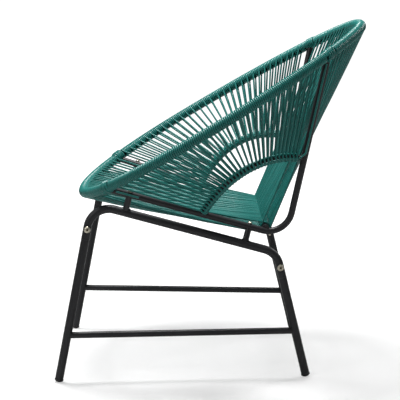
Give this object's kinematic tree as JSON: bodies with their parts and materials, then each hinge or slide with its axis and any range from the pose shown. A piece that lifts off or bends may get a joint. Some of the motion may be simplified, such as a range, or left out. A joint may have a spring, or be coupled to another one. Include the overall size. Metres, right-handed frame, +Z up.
{
  "type": "acapulco chair",
  "caption": "Low lounge chair: round tilted rim wound with green cord, cord loop seat, back and sides, on a bolted black tube frame.",
  "frame": {"origin": "on the floor, under the middle of the overall length and width", "axes": "+Z up, -X to the front of the chair, +Y to the sitter's right"},
  "size_m": [0.7548, 0.7216, 0.8475],
  "materials": {
    "black_steel": "satin black powder coat",
    "green_cord": "smooth blue-green plastic cord, half gloss",
    "zinc": "yellow-grey zinc plate",
    "black_plastic": "matt moulded"
  },
  "bodies": {
    "root": {"rim_tube": "black_steel", "cross_bar": "black_steel", "side_rail_left": "black_steel", "leg_top_tube_left": "black_steel", "spacer_front_left": "black_steel", "spacer_rear_left": "black_steel", "front_leg_left": "black_steel", "rear_leg_left": "black_steel", "stretcher_left": "black_steel", "side_arc_left": "black_steel", "side_rail_right": "black_steel", "leg_top_tube_right": "black_steel", "spacer_front_right": "black_steel", "spacer_rear_right": "black_steel", "front_leg_right": "black_steel", "rear_leg_right": "black_steel", "stretcher_right": "black_steel", "side_arc_right": "black_steel", "leg_nut_front_left": "black_steel", "leg_nut_rear_left": "black_steel", "leg_nut_front_right": "black_steel", "leg_nut_rear_right": "black_steel", "seat_cords": "green_cord", "back_cords": "green_cord", "side_cords_left": "green_cord", "joint_wrap_front_left": "green_cord", "joint_wrap_top_left": "green_cord", "side_cords_right": "green_cord", "joint_wrap_front_right": "green_cord", "joint_wrap_top_right": "green_cord", "seat_bolt_front_left": "zinc", "seat_bolt_rear_left": "zinc", "leg_bolt_front_left": "zinc", "leg_bolt_rear_left": "zinc", "seat_bolt_front_right": "zinc", "seat_bolt_rear_right": "zinc", "leg_bolt_front_right": "zinc", "leg_bolt_rear_right": "zinc", "foot_plug_front_left": "black_plastic", "foot_plug_rear_left": "black_plastic", "foot_plug_front_right": "black_plastic", "foot_plug_rear_right": "black_plastic"}
  },
  "joints": []
}
